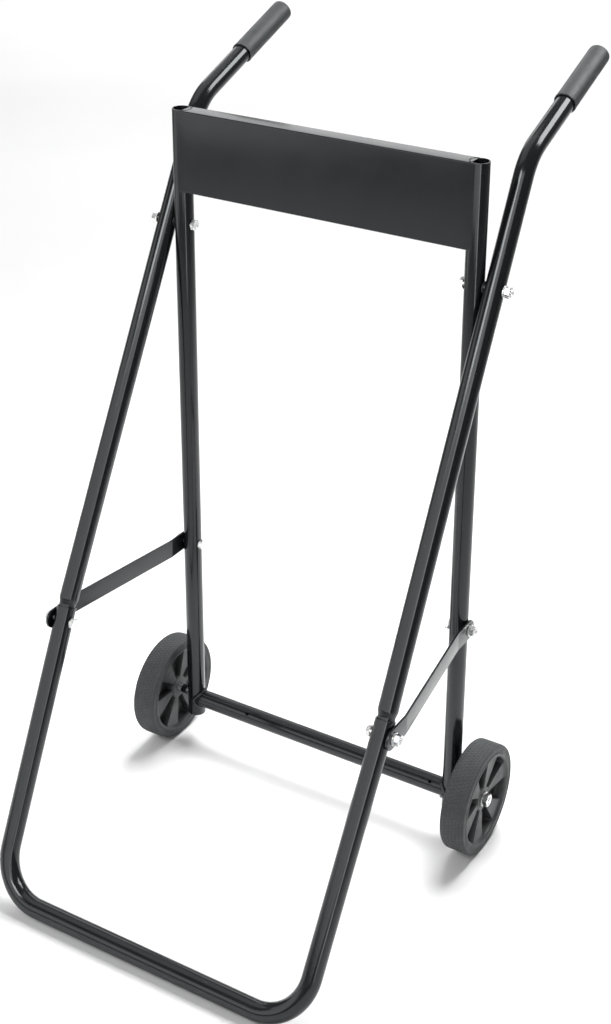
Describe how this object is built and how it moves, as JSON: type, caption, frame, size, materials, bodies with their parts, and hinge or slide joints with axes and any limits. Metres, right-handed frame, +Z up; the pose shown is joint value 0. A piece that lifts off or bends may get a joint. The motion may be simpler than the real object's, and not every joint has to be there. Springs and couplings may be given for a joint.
{
  "type": "outboard motor stand",
  "caption": "Bolted round-tube stand that holds a small outboard motor on a mounting board, with a U-shaped foot, level braces, raised grips and side wheels.",
  "frame": {"origin": "on the floor, midway across the overall width and midway along the overall depth", "axes": "+Z up, -Y forwards to the U-shaped foot, +Y back to the grips, +X to the side (the right when seen from the foot)"},
  "size_m": [0.5374, 0.7122, 1.0368],
  "materials": {
    "black_coat": "gloss black powder coat",
    "board_coat": "satin dark grey powder coat",
    "grip_rubber": "matte, finely textured",
    "zinc_steel": "bright zinc plate",
    "nylon": "plain moulded",
    "tyre_rubber": "matte with block tread",
    "rim_plastic": "fine moulded texture"
  },
  "bodies": {
    "frame": {"axle_left": "zinc_steel", "axle_nut_left": "zinc_steel", "axle_nut_right": "zinc_steel", "axle_right": "zinc_steel", "axle_spacer_left": "black_coat", "axle_spacer_right": "black_coat", "axle_washer_left": "zinc_steel", "axle_washer_right": "zinc_steel", "brace_left": "black_coat", "brace_right": "black_coat", "crossbar": "black_coat", "front_brace_bolt_left": "zinc_steel", "front_brace_bolt_right": "zinc_steel", "front_brace_nut_left": "zinc_steel", "front_brace_nut_right": "zinc_steel", "front_brace_washer_left": "zinc_steel", "front_brace_washer_right": "zinc_steel", "grip_left": "grip_rubber", "grip_right": "grip_rubber", "handle_left": "black_coat", "handle_right": "black_coat", "mounting_board": "board_coat", "pivot_bolt_left": "zinc_steel", "pivot_bolt_right": "zinc_steel", "pivot_nut_left": "zinc_steel", "pivot_nut_right": "zinc_steel", "pivot_spacer_left": "nylon", "pivot_spacer_right": "nylon", "pivot_washer_left": "zinc_steel", "pivot_washer_right": "zinc_steel", "rear_brace_bolt_left": "zinc_steel", "rear_brace_bolt_right": "zinc_steel", "rear_brace_nut_left": "zinc_steel", "rear_brace_nut_right": "zinc_steel", "rear_brace_washer_left": "zinc_steel", "rear_brace_washer_right": "zinc_steel", "u_foot": "black_coat", "upright_left": "black_coat", "upright_right": "black_coat"},
    "wheel_left": {"bush_left": "nylon", "rim_left": "rim_plastic", "tyre_left": "tyre_rubber"},
    "wheel_right": {"bush_right": "nylon", "rim_right": "rim_plastic", "tyre_right": "tyre_rubber"}
  },
  "joints": [
    {"name": "wheel_left_spin", "type": "hinge", "parent": "frame", "child": "wheel_left", "pos_m": [-0.248, 0.0686, 0.075], "axis": [1, 0, 0], "continuous": true},
    {"name": "wheel_right_spin", "type": "hinge", "parent": "frame", "child": "wheel_right", "pos_m": [0.248, 0.0686, 0.075], "axis": [1, 0, 0], "continuous": true}
  ]
}
